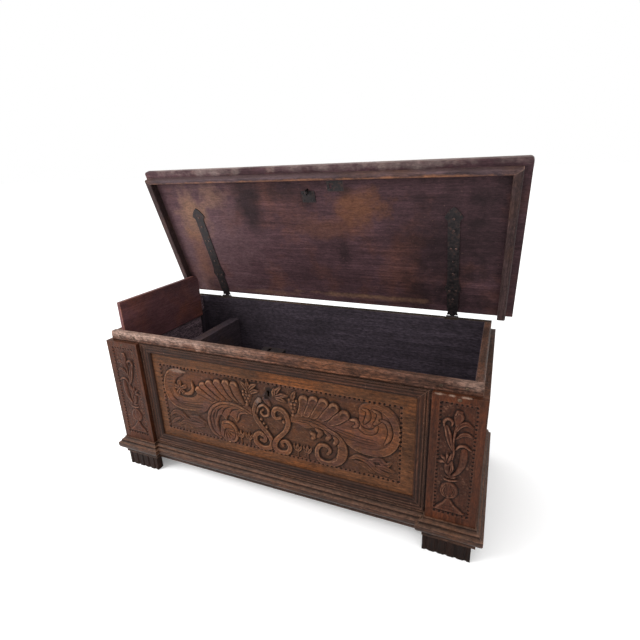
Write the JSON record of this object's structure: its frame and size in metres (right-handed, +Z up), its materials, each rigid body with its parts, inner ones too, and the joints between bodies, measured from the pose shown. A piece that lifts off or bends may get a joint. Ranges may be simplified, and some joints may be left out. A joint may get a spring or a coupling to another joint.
{
  "type": "cassone",
  "caption": "Carved wooden chest with pilasters, mitred base mouldings on block feet, a hinged lid on strap hinges, a till with its own lid, and a lock",
  "frame": {"origin": "On the floor, under the middle of the box that holds the chest with its lid open", "axes": "+X along the front to the viewer's right, +Y from the front to the back, +Z up"},
  "size_m": [1.5056, 0.6356, 1.1878],
  "materials": {
    "carved_walnut": "waxed, worn light on the high places",
    "carcass_walnut": "waxed, greyish wear on the rim and the ledge",
    "dark_moulding": "dark stain, wax, light worn edges",
    "lid_walnut": "old planed surface, dull",
    "till_walnut": "worn smooth",
    "plain_board": "sawn, unfinished",
    "iron": "wrought, dark, slightly rusted"
  },
  "bodies": {
    "chest": {"back_board": "plain_board", "base_moulding_centre": "dark_moulding", "base_moulding_pilaster_left": "dark_moulding", "base_moulding_pilaster_right": "dark_moulding", "base_moulding_side_left": "dark_moulding", "base_moulding_side_right": "dark_moulding", "base_return_left": "dark_moulding", "base_return_right": "dark_moulding", "carved_panel": "carved_walnut", "floor_boards": "plain_board", "floor_cleat_front": "plain_board", "floor_cleat_rear": "plain_board", "foot_front_left": "dark_moulding", "foot_front_right": "dark_moulding", "foot_rear_left": "plain_board", "foot_rear_right": "plain_board", "frame_moulding_bottom": "dark_moulding", "frame_moulding_left": "dark_moulding", "frame_moulding_right": "dark_moulding", "frame_moulding_top": "dark_moulding", "front_bottom_rail": "carcass_walnut", "front_stile_left": "carcass_walnut", "front_stile_right": "carcass_walnut", "front_top_rail": "carcass_walnut", "hinge_leaf_left": "iron", "hinge_leaf_right": "iron", "hinge_pin_left": "iron", "hinge_pin_right": "iron", "lock_case": "iron", "pilaster_left": "carved_walnut", "pilaster_right": "carved_walnut", "side_board_left": "carcass_walnut", "side_board_right": "carcass_walnut", "side_bottom_rail_left": "carcass_walnut", "side_bottom_rail_right": "carcass_walnut", "side_front_stile_left": "carcass_walnut", "side_front_stile_right": "carcass_walnut", "side_rear_stile_left": "carcass_walnut", "side_rear_stile_right": "carcass_walnut", "side_top_rail_left": "carcass_walnut", "side_top_rail_right": "carcass_walnut", "till_bottom": "till_walnut", "till_divider": "till_walnut", "till_lid_rest": "till_walnut", "till_rear_post": "till_walnut"},
    "lid": {"lid_board": "lid_walnut", "batten_front": "lid_walnut", "batten_left": "lid_walnut", "batten_right": "lid_walnut", "hinge_strap_left": "iron", "hinge_strap_right": "iron", "staple_plate": "iron", "catch_plate": "iron"},
    "till_lid": {"till_lid": "till_walnut"},
    "bolt": {"lock_bolt": "iron"}
  },
  "joints": [
    {"name": "lid_hinge", "type": "hinge", "parent": "chest", "child": "lid", "pos_m": [0, 0.29305, 0.59474], "axis": [1, 0, 0], "range_deg": [0, 71.3]},
    {"name": "till_lid_hinge", "type": "hinge", "parent": "chest", "child": "till_lid", "pos_m": [-0.648, -0.01211, 0.514], "axis": [0, 1, 0], "range_deg": [0, 93]},
    {"name": "bolt_slide", "type": "slide", "parent": "chest", "child": "bolt", "axis": [-1, 0, 0], "range_m": [0, 0.011]}
  ],
  "couplings": [
    {"joint": "till_lid_hinge", "follows": "lid_hinge", "ratio": 1.3043}
  ]
}
